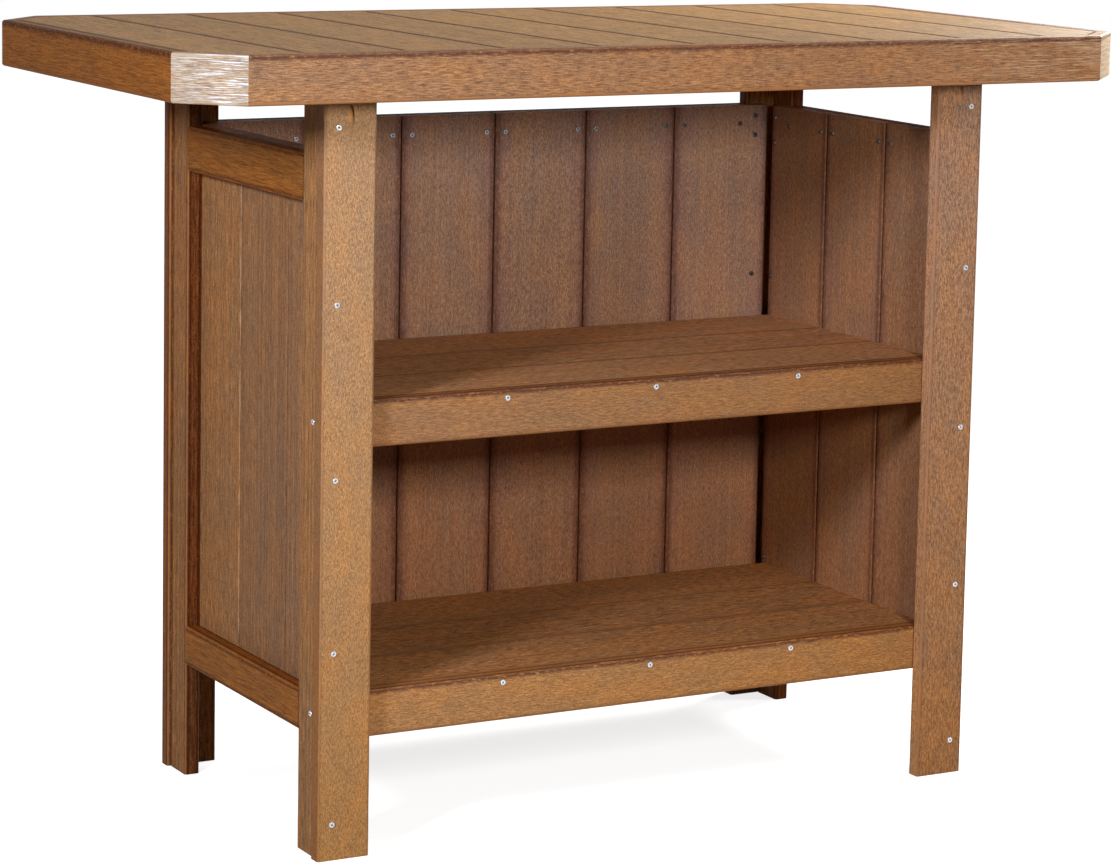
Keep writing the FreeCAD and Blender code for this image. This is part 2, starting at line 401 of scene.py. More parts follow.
def make_edge_wear():
    """The smooth margin along the long edges, and the ragged line where it ends."""
    tree, given = start_group("edge wear", {"Grain": (0.0, 0.0, 0.0), "Edge": 0.01,
                                            "Margin": 0.004, "Line": 0.003})
    wander = stretched_noise(tree, given["Grain"], *WANDER_SIZE, *WANDER_NOISE)
    shift = times(tree, sums(tree, "SUBTRACT", wander, 0.5), given["Line"])
    reach = sums(tree, "SUBTRACT", sums(tree, "ADD", given["Edge"], shift), given["Margin"])
    dashes = stretched_noise(tree, given["Grain"], *DASH_SIZE, *DASH_NOISE)
    beside = opposite(tree, step(tree, sums(tree, "ABSOLUTE", reach), 0.0, given["Line"]))
    return end_group(tree, {
        "Margin mask": opposite(tree, step(tree, reach, -MARGIN_BLUR, MARGIN_BLUR)),
        "Ragged line": times(tree, beside, step(tree, dashes, *DASH_STEP))})


edge_wear = make_edge_wear()

# %% [markdown]
# ## What a kind of lumber can set
# The effects come together in one more group, plastic lumber. The boards are solid plastic, so
# nothing peels or shows another colour below. Around the pattern of dark flecks and light
# fibres come the marks of making and use, and painted light and shade. This table gives
# the group's inputs the values of a plain board, and each kind of board changes only what
# differs on it.

# %% Name the inputs of plastic lumber
LUMBER_INPUTS = {
    # the plastic, the tints of its dark and light pattern, and how strong and large that is
    "Brown": (0.35, 0.16, 0.06, 1),
    "Fleck": (0.5, 0.43, 0.5, 1),
    "Glow": (1.5, 1.46, 1.35, 1),
    "Streak share": 0.8,
    "Spot share": 0.6,
    "Fibre length": 0.035,
    "Fibre width": 0.002,
    "Spot length": 0.006,
    "Spot width": 0.0026,
    # the margin's painted reflection, and the ragged line, which may be weaker on the lower half
    # of the board
    "Margin": 0.004,
    "Margin reflection tint": (1.15, 1.05, 0.9, 1),
    "Line": 0.003,
    "Line share": 0.9,
    "Line below": 0.2,
    "Line tint": (0.3, 0.22, 0.27, 1),
    # painted light and shade of seams, narrow sides, rim and the two ends, and the long stripes
    "Seam shade share": 0.0,
    "Seam shade reach": 0.001,
    "Narrow light and shade": (0.8, 0.66, 0.5, 1),
    "Rim shade tint": WHITE,
    "Stripe share": 0.0,
    "Foot painted light": WHITE,
    "Head painted light": WHITE,
    # painted glints as pale streaks, which grow from one place along the board (-1 to 1) to its
    # end
    "Glint": 0.0,
    "Glint from": -2.0,
    "Glint width": 0.003,
    "Glint colour": (0.84, 0.83, 0.8, 1)}
print(len(LUMBER_INPUTS), "inputs")

# %% [markdown]
# ## The pattern of flecks and fibres
# Where the noises of the grain are high the plastic is lighter, and where they are low it is
# darker. Fibres and spots each have a share of their own, so one kind of board can be mostly
# streaked and another mostly speckled.

# %% Tint the fibres and the spots
LIGHT_FIBRES, LIGHT_SPOTS = (0.5, 0.64), (0.52, 0.68)
DARK_FIBRES, DARK_SPOTS = (0.36, 0.5), (0.32, 0.47)


def pattern_tint(tree, grain, given):
    """The tint of the light and dark fibres and spots."""
    def stronger(fibres, spots):
        return sums(tree, "MAXIMUM", times(tree, fibres, given["Streak share"]),
                    times(tree, spots, given["Spot share"]))

    light = stronger(step(tree, grain["Fibres"], *LIGHT_FIBRES),
                     step(tree, grain["Speckle"], *LIGHT_SPOTS))
    dark = stronger(opposite(tree, step(tree, grain["Fibres"], *DARK_FIBRES)),
                    opposite(tree, step(tree, grain["Speckle"], *DARK_SPOTS)))
    return blend(tree, dark, blend(tree, light, WHITE, given["Glow"]), given["Fleck"])


print("pattern ready")

# %% [markdown]
# ## Painted shade at the rim, and the marks of the press
# Along its long edges a board gets painted shade, a slightly duller tone a few centimetres wide.
# The press also draws long faint stripes along the board. Noise that is nearly a metre long and
# a few millimetres wide gives them.

# %% Paint shade at the rim, and tint the stripes
RIM_SHADE_REACH = (0.004, 0.034)  # metres from a long edge over which the painted shade of the rim fades
RIM_SHADE_WANDER = 0.06           # metres by which the clouds move the rim
STRIPE_SIZE, STRIPE_NOISE = (0.8, 0.0045), (2.0, 0.6)
STRIPE_STEP = (0.34, 0.66)
DULL_STRIPE, CLEAR_STRIPE = (0.84, 0.83, 0.87, 1), (1.16, 1.15, 1.1, 1)


def rim_shade_and_stripes(tree, colour, place, grain, given):
    """Add the painted shade at the rim and the long stripes to a colour."""
    wander = sums(tree, "MULTIPLY_ADD", grain["Clouds"], RIM_SHADE_WANDER, -RIM_SHADE_WANDER / 2)
    rim = opposite(tree, step(tree, sums(tree, "ADD", place["Edge"], wander), *RIM_SHADE_REACH))
    colour = tinted_where(tree, rim, colour, given["Rim shade tint"])
    stripes = stretched_noise(tree, place["Grain"], *STRIPE_SIZE, *STRIPE_NOISE)
    stripes = blend(tree, step(tree, stripes, *STRIPE_STEP), DULL_STRIPE, CLEAR_STRIPE)
    return tinted_where(tree, given["Stripe share"], colour, stripes)


print("press marks ready")

# %% [markdown]
# ## Margins, seams and cuts
# The smooth margin, with its painted reflection, and its ragged line follow the long edges.
# Narrow sides get painted shade, darker where they sit between two boards, and on some kinds
# painted light. The seams get painted shade, and a cut shows the fresh golden plastic.

# %% Colour the margins, the seams and the cuts
UPPER_HALF = (-0.2, 0.2)  # place across the board where its upper half begins
SEAM_SHADE_FADE = (0.5, 1.0)    # shares of the seam's reach over which the painted shade fades
SEAM_SHADE_COLOUR = (0.24, 0.14, 0.1, 1)
CUT_TINT = (1.25, 1.05, 0.75, 1)


def edge_shading_and_marks(tree, colour, place, wear, given):
    """Add the margin's painted reflection, the ragged line, painted shade on narrow sides and in
    seams, and the cuts.
    """
    colour = blend(tree, wear["Margin mask"], colour, given["Margin reflection tint"])
    upper = step(tree, place["Across"], *UPPER_HALF)
    where = sums(tree, "MAXIMUM", upper, given["Line below"])
    line = times(tree, times(tree, wear["Ragged line"], given["Line share"]), where)
    colour = blend(tree, line, colour, given["Line tint"])
    # painted shade on the narrow sides, which on some kinds is painted light instead
    colour = tinted_where(tree, place["Narrow"], colour, given["Narrow light and shade"])
    near = sums(tree, "DIVIDE", place["Edge"], given["Seam shade reach"])
    seam_shade = times(tree, opposite(tree, step(tree, near, *SEAM_SHADE_FADE)), given["Seam shade share"])
    colour = blend(tree, seam_shade, colour, SEAM_SHADE_COLOUR)
    return blend(tree, place["Cut"], colour, CUT_TINT)


print("edge marks ready")

# %% [markdown]
# ## Painted light along a board, and its tone
# One end of a board has painted light, cooler at one end and warmer at the other. Slow clouds
# make it warmer in one place and cooler in the next, and each board is a touch lighter or darker
# than its neighbour. On some boards pale streaks are painted glints of the lamps on the embossing.

# %% Paint light on the ends, tint the clouds and the board, and add painted glints
CLOUD_STEP = (0.3, 0.7)
WARM_CLOUD, COOL_CLOUD = (1.07, 1.02, 0.94, 1), (0.9, 0.95, 1.04, 1)
DARKEST_TONE, TONE_SPREAD = 0.93, 0.14
GLINT_LENGTH, GLINT_NOISE = 0.045, (3.0, 0.65)
GLINT_STEP = (0.53, 0.6)


def end_light_and_tones(tree, colour, place, grain, given):
    """Add the painted light of the two ends, and the tones of the clouds and of the whole board.
    """
    rising = sums(tree, "MULTIPLY_ADD", place["Along"], 0.5, 0.5)
    colour = tinted(tree, colour, blend(tree, rising, given["Foot painted light"], given["Head painted light"]))
    clouds = blend(tree, step(tree, grain["Clouds"], *CLOUD_STEP), COOL_CLOUD, WARM_CLOUD)
    colour = tinted(tree, colour, clouds)
    tone = sums(tree, "MULTIPLY_ADD", place["Seed"], TONE_SPREAD, DARKEST_TONE)
    grey = add(tree, "CombineColor", {0: tone, 1: tone, 2: tone}).outputs[0]
    return tinted(tree, colour, grey)


def painted_glint_streaks(tree, colour, place, given):
    """Add painted glints, as pale streaks, on the wide faces."""
    streaks = stretched_noise(tree, place["Grain"], GLINT_LENGTH, given["Glint width"],
                              *GLINT_NOISE)
    reach = step(tree, place["Along"], given["Glint from"], 1.0)
    glint = times(tree, times(tree, step(tree, streaks, *GLINT_STEP), reach), given["Glint"])
    glint = times(tree, glint, opposite(tree, place["Narrow"]))
    return blend(tree, glint, colour, given["Glint colour"])


print("tones ready")

# %% [markdown]
# ## Group: plastic lumber
# Now the parts go together, as one colour, one roughness and one height. The speckle is a
# little rougher than the rest, the margin is smoother, and the embossing nearly ends on
# margins and cuts.

# %% Build the plastic lumber group
LEAST_ROUGHNESS, SPECKLE_ROUGHNESS = 0.45, 0.25
MARGIN_POLISH = -0.08  # change of roughness on the smooth margin
SMOOTHING = -0.8       # change of the embossing on margins and cuts


def make_plastic_lumber():
    """The finish of a board, from its place and the values of its kind."""
    tree, given = start_group("plastic lumber", LUMBER_INPUTS)
    place = use_group(tree, board_place)
    sizes = ("Fibre length", "Fibre width", "Spot length", "Spot width")
    grain = use_group(tree, embossed_grain, {
        "Grain": place["Grain"], **{label: given[label] for label in sizes}})
    wear = use_group(tree, edge_wear, {"Grain": place["Grain"], "Edge": place["Edge"],
                                       "Margin": given["Margin"], "Line": given["Line"]})
    colour = rim_shade_and_stripes(tree, pattern_tint(tree, grain, given), place, grain, given)
    colour = tinted(tree, given["Brown"], edge_shading_and_marks(tree, colour, place, wear, given))
    colour = end_light_and_tones(tree, colour, place, grain, given)
    roughness = sums(tree, "MULTIPLY_ADD", grain["Speckle"], SPECKLE_ROUGHNESS, LEAST_ROUGHNESS)
    smooth = sums(tree, "MAXIMUM", wear["Margin mask"], place["Cut"])
    depth = sums(tree, "MULTIPLY_ADD", smooth, SMOOTHING, 1.0)
    return end_group(tree, {
        "Colour": painted_glint_streaks(tree, colour, place, given),
        "Roughness": sums(tree, "MULTIPLY_ADD", wear["Margin mask"], MARGIN_POLISH, roughness),
        "Height": times(tree, grain["Height"], depth)})


plastic_lumber = make_plastic_lumber()

# %% [markdown]
# ## Values that several kinds share
# All boards are one plastic, but each kind of board has its own blend of tones. Boards with
# much speckle stand upright, boards with long streaks lie along the edges, and those that lie
# flat are seen at a slant, so their pattern is wider. What several kinds share is kept in sets
# of values, and a kind is then a few sets and what differs from them.

# %% Collect the shared values
SPECKLED = {"Streak share": 0.65, "Spot share": 1.0, "Fibre length": 0.007, "Fibre width": 0.0013,
            "Spot length": 0.003, "Spot width": 0.0018}
STREAKED = {"Streak share": 0.95, "Spot share": 0.8, "Fibre length": 0.014, "Fibre width": 0.0009,
            "Spot length": 0.0026, "Spot width": 0.0012, "Line": 0.0045}
STRIPED = {"Streak share": 0.85, "Fibre length": 0.025, "Fleck": (0.42, 0.36, 0.42, 1),
           "Glow": (1.65, 1.6, 1.46, 1), "Stripe share": 1.0}
SEAMED = {"Seam shade share": 0.95, "Narrow light and shade": (0.25, 0.18, 0.13, 1), "Margin reflection tint": WHITE,
          "Line below": 1.0}
LUMBER_KINDS = {}  # name: (gloss, what differs from the lumber group's own values)
print("shared sets of", len(SPECKLED), len(STREAKED), len(STRIPED), len(SEAMED), "values")

# %% [markdown]
# ## The kinds of lumber on the top
# The deck is golden with seams of painted shade, and the apron has long streaks, with painted
# light and glints along the front one and a painted dark reflection on the top edge of the
# right one. The two short boards at the clipped front corners are the palest of all, for their
# colour holds a painted reflection of the lamps.

# %% Blend the lumber of the deck and the apron
LUMBER_KINDS.update({
    "deck": (0.065, {
        **STREAKED, **SEAMED, "Brown": (0.385, 0.208, 0.074, 1), "Fleck": (0.46, 0.42, 0.44, 1),
        "Glow": (1.56, 1.52, 1.46, 1), "Line share": 0.4, "Spot share": 1.0,
        "Fibre length": 0.04, "Fibre width": 0.0016, "Spot length": 0.01, "Spot width": 0.0022,
        "Seam shade reach": 0.0048, "Stripe share": 0.5}),
    "apron": (0.12, {**STREAKED, "Brown": (0.34, 0.165, 0.073, 1)}),
    # the right apron's dark margin is a painted dark reflection on its rounded top edge
    "right apron": (0.06, {
        **STREAKED, "Brown": (0.34, 0.165, 0.073, 1), "Margin": 0.0055,
        "Margin reflection tint": (0.42, 0.3, 0.26, 1)}),
    # painted light, cooler at the left end and warmer at the right, and painted glints near the
    # right end
    "front apron": (0.12, {
        **STREAKED, "Brown": (0.335, 0.165, 0.073, 1), "Fleck": (0.47, 0.4, 0.47, 1),
        "Glow": (1.53, 1.5, 1.39, 1), "Fibre length": 0.016, "Fibre width": 0.0011,
        "Spot width": 0.0014, "Line": 0.006, "Line share": 1.0,
        "Narrow light and shade": (1.05, 1.1, 1.0, 1), "Foot painted light": (1.02, 1.1, 1.22, 1),
        "Head painted light": (1.01, 0.92, 0.82, 1), "Glint": 0.5, "Glint from": 0.3,
        "Glint width": 0.0007, "Glint colour": (0.84, 0.62, 0.42, 1)}),
    # its deeper brown than the front apron's is painted shade of the left side; its bluish narrow
    # sides a painted sheen
    "left apron": (0.04, {
        **STREAKED, "Brown": (0.3, 0.103, 0.016, 1), "Margin": 0.003,
        "Margin reflection tint": (0.95, 0.85, 0.8, 1), "Line": 0.009, "Line share": 1.0,
        "Line tint": (0.26, 0.17, 0.17, 1), "Narrow light and shade": (1.1, 1.6, 3.0, 1),
        "Fibre length": 0.03, "Spot share": 1.0, "Spot length": 0.006, "Spot width": 0.0017}),
    # the pale brown and the streaks of this corner are a painted reflection of the left lamp
    "pale corner": (0.2, {
        **STREAKED, "Brown": (0.41, 0.31, 0.21, 1), "Fleck": (0.6, 0.42, 0.34, 1),
        "Spot share": 0.5, "Line share": 0.0, "Narrow light and shade": (0.6, 0.5, 0.42, 1),
        "Glint": 1.0, "Glint width": 0.0017}),
    # this corner's pale golden brown and streaks are painted glare of the lamps on the right; its
    # top has painted shade
    "golden corner": (0.03, {
        **STREAKED, "Brown": (0.79, 0.6, 0.4, 1), "Fibre length": 0.1,
        "Narrow light and shade": (0.45, 0.3, 0.2, 1), "Glint": 0.5, "Glint width": 0.001})})
print(len(LUMBER_KINDS), "kinds so far")

# %% [markdown]
# ## The kinds of lumber on the legs and the rails
# The faces of the front legs are finely speckled and pale, with painted light that is bluish
# towards the top and yellow towards the foot. The side boards and the back legs stand in less
# light and are more striped, and the back legs' narrow sides get painted shade.

# %% Blend the lumber of the legs and the rails
FACE_END_LIGHT = {"Foot painted light": (1.01, 0.92, 0.74, 1), "Head painted light": (1.0, 1.1, 1.38, 1)}
LEG_FACE = {**SPECKLED, **FACE_END_LIGHT, "Line share": 0.4, "Line below": 1.0}
LEG_BACK = {**SPECKLED, **STRIPED, "Line below": 1.0}
RAIL = {**STREAKED, "Fibre length": 0.03, "Spot length": 0.007, "Line below": 1.0}
LUMBER_KINDS.update({
    "left leg": (0.1, {
        **LEG_FACE, "Brown": (0.48, 0.259, 0.107, 1), "Fibre length": 0.005,
        "Fibre width": 0.001, "Spot length": 0.0024, "Spot width": 0.0014, "Margin": 0.0022,
        "Margin reflection tint": (1.04, 1.0, 1.0, 1)}),
    # the lighter narrow sides of the right leg are a painted highlight on the rounded edge
    "right leg": (0.1, {
        **LEG_FACE, "Brown": (0.385, 0.198, 0.096, 1), "Fleck": (0.42, 0.37, 0.44, 1),
        "Glow": (1.6, 1.53, 1.36, 1), "Fibre length": 0.008, "Fibre width": 0.0017,
        "Margin": 0.003, "Margin reflection tint": (1.05, 1.0, 1.0, 1),
        "Narrow light and shade": (1.4, 1.4, 1.3, 1)}),
    "side leg": (0.06, {**LEG_BACK, "Brown": (0.4, 0.19, 0.065, 1), "Line share": 0.4}),
    # the darker narrow sides of the back legs are painted shade
    "back leg": (0.06, {
        **LEG_BACK, "Brown": (0.39, 0.178, 0.062, 1), "Narrow light and shade": (0.6, 0.44, 0.34, 1)}),
    # the rails' deep, saturated browns are painted shade of the left side
    "rail": (0.03, {**RAIL, "Brown": (0.4, 0.155, 0.034, 1)}),
    "top rail": (0.03, {**RAIL, "Brown": (0.345, 0.126, 0.024, 1), "Spot share": 0.9})})
print(len(LUMBER_KINDS), "kinds so far")

# %% [markdown]
# ## The kinds of lumber on the panels
# The left panel is seen from outside: striped boards with a pale line of painted reflection
# along their edges. The back panel and the right panel are seen from inside the bays, with
# painted shade in their seams and beside them.

# %% Blend the lumber of the panels
OUTSIDE = {**SPECKLED, **SEAMED, "Line share": 0.3, "Seam shade share": 0.0}
INSIDE = {**SPECKLED, **SEAMED, "Fleck": (0.55, 0.46, 0.52, 1), "Glow": (1.45, 1.55, 1.75, 1),
          "Margin": 0.002, "Line": 0.012, "Line share": 0.7, "Seam shade share": 0.3,
          "Narrow light and shade": (0.7, 0.45, 0.38, 1), "Rim shade tint": (0.93, 0.87, 0.94, 1),
          "Stripe share": 0.4}
LUMBER_KINDS.update({
    # the pale bluish margins of the left panel boards are a painted highlight on their rounded
    # edges
    "outer panel": (0.06, {
        **OUTSIDE, **STRIPED, "Brown": (0.415, 0.2, 0.075, 1), "Margin": 0.0016,
        "Margin reflection tint": (2.0, 2.3, 2.8, 1), "Stripe share": 0.8}),
    "dull panel": (0.06, {
        **OUTSIDE, "Brown": (0.37, 0.183, 0.077, 1), "Fleck": (0.46, 0.39, 0.46, 1),
        "Glow": (1.56, 1.53, 1.4, 1), "Fibre length": 0.02, "Margin": 0.0014,
        "Margin reflection tint": (1.4, 1.5, 1.9, 1), "Stripe share": 1.0}),
    # painted light on both inside panels: warmer at the foot and cooler at the head of the boards
    "back panel": (0.07, {
        **INSIDE, "Brown": (0.4, 0.203, 0.108, 1), "Foot painted light": (0.96, 0.84, 0.68, 1),
        "Head painted light": (1.0, 1.2, 1.5, 1)}),
    "right panel": (0.07, {
        **INSIDE, "Brown": (0.36, 0.18, 0.083, 1), "Foot painted light": (0.95, 0.85, 0.72, 1),
        "Head painted light": (1.0, 1.05, 1.15, 1)})})
print(len(LUMBER_KINDS), "kinds so far")

# %% [markdown]
# ## The kinds of lumber on the shelves
# The boards of the shelves lie flat, with painted shade in their seams. The fascias before them
# have a fine short grain and a ragged dark line below their warm upper edge. Battens and
# cleats are hidden, so they get the plain board with a darker brown.

# %% Blend the lumber of the shelves
SHELF = {**STREAKED, **SEAMED, "Fleck": (0.42, 0.36, 0.38, 1), "Glow": (1.65, 1.6, 1.5, 1),
         "Fibre width": 0.0026, "Spot width": 0.0034, "Line share": 0.4, "Seam shade share": 0.7,
         "Seam shade reach": 0.003, "Stripe share": 0.6}
FASCIA = {**STREAKED, "Streak share": 0.7, "Spot share": 0.95, "Fibre length": 0.008,
          "Spot length": 0.002, "Line": 0.006, "Line share": 1.0, "Margin": 0.003,
          "Margin reflection tint": (1.05, 0.92, 0.85, 1)}
LUMBER_KINDS.update({
    # the mid shelf's lighter brown and the low shelf's darker, warmer one are painted light and
    # shade of their bays
    "mid shelf": (0.08, {**SHELF, "Brown": (0.46, 0.222, 0.093, 1), "Seam shade share": 0.9}),
    "low shelf": (0.08, {**SHELF, "Brown": (0.375, 0.168, 0.06, 1)}),
    # painted light along the fascias, cooler at the left end and warmer at the right
    "fascia": (0.1, {
        **FASCIA, "Brown": (0.38, 0.186, 0.076, 1), "Foot painted light": (1.02, 1.06, 1.16, 1),
        "Head painted light": (0.98, 0.94, 0.85, 1)}),
    "low fascia": (0.1, {
        **FASCIA, "Brown": (0.5, 0.24, 0.085, 1), "Foot painted light": (1.02, 1.06, 1.14, 1),
        "Head painted light": (0.98, 0.95, 0.88, 1)}),
    "hidden": (0.1, {"Brown": (0.32, 0.15, 0.06, 1)})})
print(len(LUMBER_KINDS), "kinds in all")

# %% [markdown]
# ## The lumber materials
# A material holds the plastic lumber group, a Bump node that turns the height into relief, and
# the shader itself. The gloss is the shader's specular level. It is low, because a strong one
# would wash out the brown.

# %% Make the lumber materials
EMBOSS_DEPTH = 0.0004  # metres


def make_lumber(kind, gloss, values):
    """One lumber material, from its gloss and its blend of tones."""
    material, tree, shader = new_material(kind + " lumber")
    shader.inputs["Specular IOR Level"].default_value = gloss
    give_finish(tree, shader, use_group(tree, plastic_lumber, values), EMBOSS_DEPTH)
    return material


lumber = {kind: make_lumber(kind, *look) for kind, look in LUMBER_KINDS.items()}
print("materials", sorted(material.name for material in lumber.values()))

# %% [markdown]
# ## Finish every board
# The name of a node says what kind of board it is: the first start of a name that fits gives
# the kind. The mesh stays as it is, and only the material in its slot changes.

# %% Assign the lumber
KIND_STARTS = (
    ("deck_plank", "deck"), ("deck_batten", "hidden"),
    ("apron_corner_front_left", "pale corner"), ("apron_corner_front_right", "golden corner"),
    ("apron_left", "left apron"), ("apron_right", "right apron"),
    ("apron_front", "front apron"), ("apron", "apron"),
    ("leg_front_left_face", "left leg"), ("leg_front_right_face", "right leg"),
    ("leg_back", "back leg"), ("leg", "side leg"),
    ("rail_left_top", "top rail"), ("rail", "rail"),
    ("side_board_left_3", "outer panel"), ("side_board_left", "dull panel"),
    ("side_board", "right panel"), ("back_board", "back panel"),
    ("mid_shelf_cleats", "hidden"), ("low_shelf_cleats", "hidden"),
    ("mid_shelf_fascia", "fascia"), ("low_shelf_fascia", "low fascia"),
    ("mid_shelf", "mid shelf"), ("low_shelf", "low shelf"))


def kind_of(name):
    """The lumber of a node, by how its name starts."""
    return next(kind for start, kind in KIND_STARTS if name.startswith(start))


for name in board_names:
    for slot in nodes[name].material_slots:
        slot.material = lumber[kind_of(name)]
print("finished", len(board_names), "boards")

# %% [markdown]
# ## The outlines of a screw head
# Small stainless pan heads with a cross recess hold the boards. The counter's own heads are
# plain discs, so each is replaced by a head with a domed edge and a real recess. A head is
# built from loops of points: round rings for the dome, and the outline of the cross for the
# recess. Neighbouring loops are then joined by faces.

# %% Draw the loops of a screw head
HEAD_RADIUS = 0.004
HEAD_HEIGHT = 0.0016
HEAD_SIDES = 24
RECESS_REACH = 0.0021
RECESS_HALF_WIDTH = 0.00045
RECESS_DEPTH = 0.0011


def ring(builder, radius, height):
    """A closed ring of points; returns its vertices."""
    turns = [2 * math.pi * index / HEAD_SIDES for index in range(HEAD_SIDES)]
    points = [(radius * math.cos(turn), radius * math.sin(turn), height) for turn in turns]
    return [builder.verts.new(point) for point in points]


def cross(builder, height, scale):
    """The outline of the cross recess at a height; returns its twelve vertices."""
    reach, half = RECESS_REACH * scale, RECESS_HALF_WIDTH * scale
    corner = [(reach, -half), (reach, half), (half, half)]
    points = []
    for quarter in range(4):
        turn = Matrix.Rotation(quarter * math.pi / 2, 2)
        points += [turn @ Vector(point) for point in corner]
    return [builder.verts.new((point.x, point.y, height)) for point in points]


def join(builder, first, second):
    """Faces between two loops with the same number of points."""
    for index, vertex in enumerate(first):
        after = (index + 1) % len(first)
        builder.faces.new((vertex, first[after], second[after], second[index]))


def edges_of(builder, loop):
    """The edges round a loop of vertices, made where they are missing."""
    pairs = zip(loop, loop[1:] + loop[:1])
    return [builder.edges.get(pair) or builder.edges.new(pair) for pair in pairs]


print("a head is", HEAD_RADIUS * 2000, "mm wide and", HEAD_HEIGHT * 1000, "mm high")

# %% [markdown]
# ## One screw head
# The side of the head curves inward from its base to a flat crown. The crown is a ring with a
# cross in it, which has no simple pattern of faces, so the space between the two outlines is
# filled with triangles. The walls and the floor of the recess get the second material slot.

# %% Model one screw head
DOME_ANGLES = (0, 25, 50, 72)      # degrees up the quarter circle of the domed edge
CROWN_RADIUS = HEAD_RADIUS * 0.85  # where that quarter circle has its centre
FLAT_RADIUS = CROWN_RADIUS * 0.94  # of the flat middle
RECESS_TAPER = 0.7                 # width of the recess at its floor over that at its mouth


def make_head():
    """A pan head on the XY plane, pointing along +Z."""
    builder = bmesh.new()
    rings = []
    for angle in map(math.radians, DOME_ANGLES):
        radius = CROWN_RADIUS + (HEAD_RADIUS - CROWN_RADIUS) * math.cos(angle)
        rings.append(ring(builder, radius, HEAD_HEIGHT * math.sin(angle)))
    rings.append(ring(builder, FLAT_RADIUS, HEAD_HEIGHT))
    builder.faces.new(rings[0][::-1])
    for low, high in zip(rings, rings[1:]):
        join(builder, low, high)
    mouth = cross(builder, HEAD_HEIGHT, 1.0)
    bottom = cross(builder, HEAD_HEIGHT - RECESS_DEPTH, RECESS_TAPER)
    join(builder, mouth, bottom)
    builder.faces.new(bottom)
    for vertex in bottom:
        for face in vertex.link_faces:
            face.material_index = 1
    bmesh.ops.triangle_fill(builder, use_beauty=True,
                            edges=edges_of(builder, rings[-1]) + edges_of(builder, mouth))
    bmesh.ops.recalc_face_normals(builder, faces=builder.faces)
    return builder


head = make_head()
print("one head has", len(head.faces), "faces")

# %% [markdown]
# ## Where the heads sit
# The place and direction of every head are read from the plain discs. The discs of a node are
# one mesh, so it is first split into islands, whose points are linked by edges. The points of
# a disc vary least along its axis, and its outer ring is the smaller of the two.

# %% Read the seats of the plain heads
WELD_DISTANCE = 1e-5  # metres between points that count as one
SEAT_DIGITS = 4       # of a place, by which the seats are put in order


def seat_of(points):
    """The base centre and the axis of a disc whose outer ring is its smaller one."""
    middle = points.mean(axis=0)
    axis = np.linalg.svd(points - middle)[2][2]
    height = (points - middle) @ axis
    radius = np.linalg.norm(points - middle - np.outer(height, axis), axis=1)
    if radius[height > 0].mean() > radius[height < 0].mean():
        axis, height = -axis, -height
    return Vector(middle + axis * height.min()), Vector(axis)


def seats_of(name):
    """Base centre and outward direction of every plain head of a node."""
    builder = bmesh.new()
    builder.from_mesh(nodes[name].data)
    bmesh.ops.remove_doubles(builder, verts=builder.verts, dist=WELD_DISTANCE)
    left, seats = set(builder.verts), []
    while left:
        island = {left.pop()}
        newest = set(island)
        while newest:
            reached = {edge.other_vert(vertex) for vertex in newest for edge in vertex.link_edges}
            newest = reached - island
            island |= reached
        left -= island
        points = sorted(tuple(vertex.co) for vertex in island)  # a set has no order of its own
        seats.append(seat_of(np.array(points)))
    builder.free()
    return sorted(seats, key=lambda seat: tuple(round(v, SEAT_DIGITS) for v in seat[0]))


print("seats can be read")

# %% [markdown]
# ## Group: scratched steel
# Driving a screw scratches its head, and the low spots stay duller. One noise gives the
# colour, the roughness and the relief. It is a group, because the heads on the panels have a
# darker steel than those on the legs and fascias, as painted shade of the dim bays they reflect.

# %% Build the scratched steel group
SCRATCH_SCALE, SCRATCH_DETAIL = 900.0, 3.0
SCRATCH_STEP = (0.3, 0.7)
SCRATCH_ROUGHNESS, STEEL_ROUGHNESS = 0.3, 0.15


def make_scratched_steel():
    """Steel between a dull and a bright tone, with the height of its scratches."""
    tree, given = start_group("scratched steel", {"Dull": (0.3, 0.3, 0.3, 1),
                                                  "Bright": (0.8, 0.8, 0.8, 1)})
    point = add(tree, "TexCoord").outputs["Object"]
    scratches = add(tree, "TexNoise", {"Vector": point, "Scale": SCRATCH_SCALE,
                                       "Detail": SCRATCH_DETAIL}).outputs["Fac"]
    return end_group(tree, {
        "Colour": blend(tree, step(tree, scratches, *SCRATCH_STEP), given["Dull"],
                        given["Bright"]),
        "Roughness": sums(tree, "MULTIPLY_ADD", scratches, SCRATCH_ROUGHNESS, STEEL_ROUGHNESS),
        "Height": scratches})


scratched_steel = make_scratched_steel()

# %% [markdown]
# ## Steel and recess shade
# The two steels place the group with their own tones. Painted shade fills the bottom of every
# recess. It is dull and not metallic, and only this one material needs it.

# %% Make the steel and the recess shade
SCRATCH_DEPTH = 0.00005  # metres
RECESS_SHADE_SCALE, RECESS_SHADE_DETAIL = 1500.0, 2.0
RECESS_SHADE_DARK, RECESS_SHADE_LIGHT = (0.01, 0.01, 0.012, 1), (0.06, 0.055, 0.05, 1)
RECESS_SHADE_SPREAD, RECESS_SHADE_ROUGHNESS = 0.3, 0.5
STEEL_TONES = {
    # node: (dull, bright)
    "frame_screws": ((0.34, 0.36, 0.39, 1), (0.74, 0.77, 0.82, 1)),
    # the panel heads' darker tones are painted shade of the dim bays that they reflect
    "panel_screws": ((0.06, 0.065, 0.075, 1), (0.38, 0.39, 0.42, 1))}


def make_steel(name, dull, bright):
    """Stainless steel with fine scratches."""
    material, tree, shader = new_material(name)
    shader.inputs["Metallic"].default_value = 1.0
    finish = use_group(tree, scratched_steel, {"Dull": dull, "Bright": bright})
    give_finish(tree, shader, finish, SCRATCH_DEPTH)
    return material


